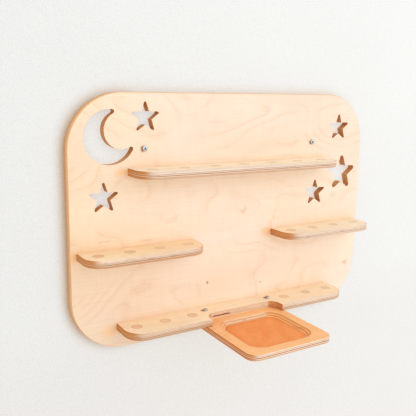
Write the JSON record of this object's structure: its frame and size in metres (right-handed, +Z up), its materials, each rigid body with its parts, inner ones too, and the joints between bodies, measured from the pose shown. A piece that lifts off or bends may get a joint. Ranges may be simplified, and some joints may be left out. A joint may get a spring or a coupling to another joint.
{
  "type": "wall rack organizer",
  "caption": "Wall-hung birch plywood rack: pierced back board, narrow shelves with flush disc inlays, and a pocketed tray under the lowest shelf, for small bottles, jars and figures.",
  "frame": {"origin": "midpoint between the two wall screws, on the back face of the board", "axes": "+X to the right seen from the front, +Y into the wall, +Z up"},
  "size_m": [0.6, 0.2549, 0.4161],
  "materials": {
    "board_ply": "oiled birch plywood, satin, visible plies on the edges",
    "shelf_ply": "oiled birch plywood, satin, visible plies on the edges",
    "tray_ply": "warmer oiled plywood, satin, darker inner ply on the pocket floor",
    "disc_plug": "end-grain wood plug, satin, a shade darker than the shelf around it",
    "screw_zinc": "bright zinc",
    "dowel_beech": "raw beech"
  },
  "bodies": {
    "root": {"back_board": "board_ply", "upper_shelf": "shelf_ply", "left_shelf": "shelf_ply", "right_shelf": "shelf_ply", "bottom_shelf": "shelf_ply", "tray": "tray_ply", "upper_discs": "disc_plug", "left_discs": "disc_plug", "right_discs": "disc_plug", "bottom_left_discs": "disc_plug", "bottom_right_discs": "disc_plug", "upper_dowels": "dowel_beech", "left_dowels": "dowel_beech", "right_dowels": "dowel_beech", "bottom_dowels": "dowel_beech", "upper_shelf_screws": "screw_zinc", "left_shelf_screws": "screw_zinc", "right_shelf_screws": "screw_zinc", "bottom_shelf_screws": "screw_zinc", "tray_screws": "screw_zinc", "wall_screws": "screw_zinc"}
  },
  "joints": []
}
